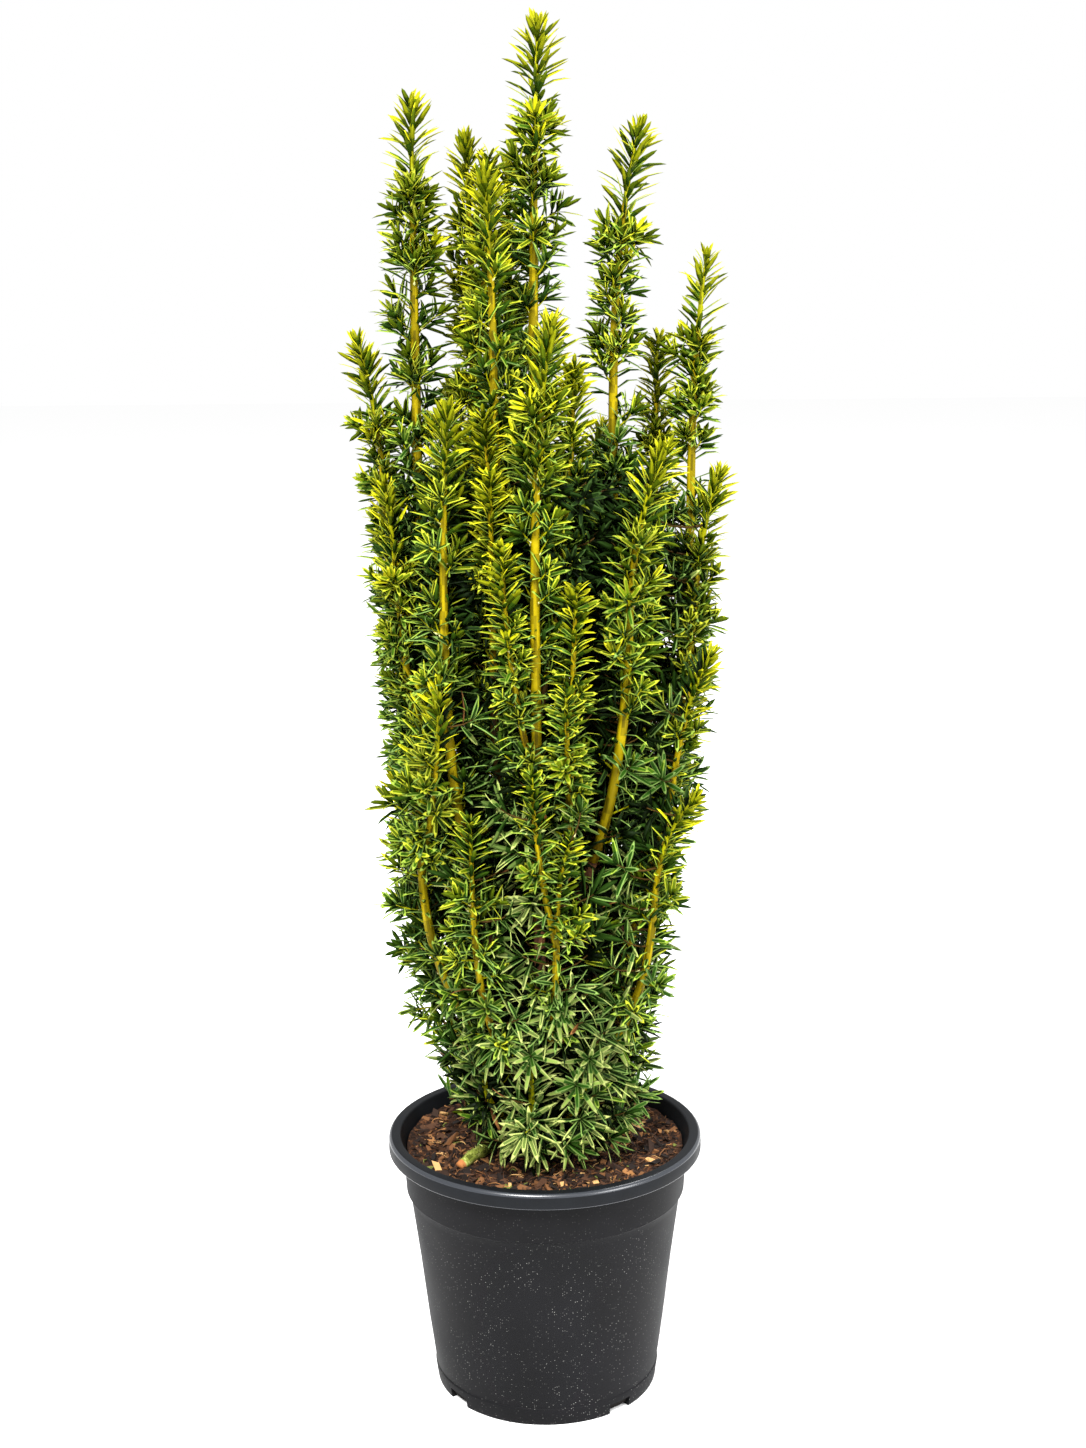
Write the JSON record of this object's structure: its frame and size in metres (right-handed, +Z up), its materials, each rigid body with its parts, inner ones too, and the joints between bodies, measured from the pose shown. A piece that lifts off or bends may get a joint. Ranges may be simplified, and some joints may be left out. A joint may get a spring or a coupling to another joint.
{
  "type": "potted columnar golden english yew",
  "caption": "Columnar golden-margined English yew: upright leaders of short needles on boughs from one trunk, growing in soil in a round tapered nursery pot.",
  "frame": {"origin": "centre of the pot's flat underside, where it stands", "axes": "+Z up along the trunk, -Y towards the plant's front, +X to its right"},
  "size_m": [0.3382, 0.294, 1.1944],
  "materials": {
    "pot_plastic": "satin",
    "potting_soil": "matte",
    "bark": "matte",
    "young_needles": "satin",
    "old_needles": "satin"
  },
  "bodies": {
    "root": {"pot": "pot_plastic", "soil": "potting_soil", "trunk": "bark", "bough_left_tall": "bark", "bough_left_inner": "bark", "bough_left_inner_back": "bark", "bough_right_tall": "bark", "bough_right_outer": "bark", "bough_right_back": "bark", "bough_left_outer": "bark", "bough_centre_front": "bark", "bough_left_front": "bark", "bough_centre_left": "bark", "bough_left_side": "bark", "bough_right_front": "bark", "bough_right_side": "bark", "bough_right_low": "bark", "bough_front_right": "bark", "bough_back_centre": "bark", "bough_back_far": "bark", "bough_back_right": "bark", "bough_back_left": "bark", "bough_left_back": "bark", "centre_leader": "young_needles", "left_tall": "young_needles", "left_inner": "young_needles", "left_inner_back": "young_needles", "right_tall": "young_needles", "right_outer": "young_needles", "right_back": "young_needles", "left_outer": "young_needles", "centre_front": "young_needles", "left_front": "young_needles", "centre_left": "young_needles", "left_side": "young_needles", "right_front": "young_needles", "right_side": "young_needles", "right_low": "young_needles", "front_right": "young_needles", "back_centre": "young_needles", "back_far": "young_needles", "back_right": "young_needles", "back_left": "young_needles", "left_back": "young_needles", "right_bottom": "young_needles", "front_low": "young_needles", "left_low": "young_needles", "front_left_low": "young_needles", "back_low_left": "young_needles", "back_low": "young_needles", "back_low_right": "young_needles", "left_low_back": "young_needles", "skirt_1": "old_needles", "skirt_2": "old_needles", "skirt_3": "old_needles", "skirt_4": "old_needles", "skirt_5": "old_needles", "skirt_6": "old_needles", "skirt_7": "old_needles"}
  },
  "joints": []
}
